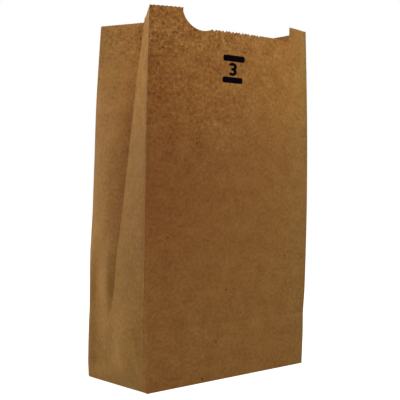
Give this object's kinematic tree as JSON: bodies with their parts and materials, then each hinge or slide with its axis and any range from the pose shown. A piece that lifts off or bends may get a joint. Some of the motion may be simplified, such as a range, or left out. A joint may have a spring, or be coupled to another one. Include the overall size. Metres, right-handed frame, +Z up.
{
  "type": "paper lunch bag",
  "caption": "Small open brown kraft paper bag with gusseted sides, a square folded bottom, a sawtooth mouth and a thumb notch in the front.",
  "frame": {"origin": "on the floor, under the middle of the bag's bounding box", "axes": "+Z up out of the open mouth, -Y out of the notched front panel, +X to the right of someone who faces that panel"},
  "size_m": [0.1262, 0.0826, 0.2175],
  "materials": {
    "kraft_paper": "uncoated unbleached kraft paper, matt, with a fine fibre mottle"
  },
  "bodies": {
    "root": {"paper_bag": "kraft_paper"}
  },
  "joints": []
}
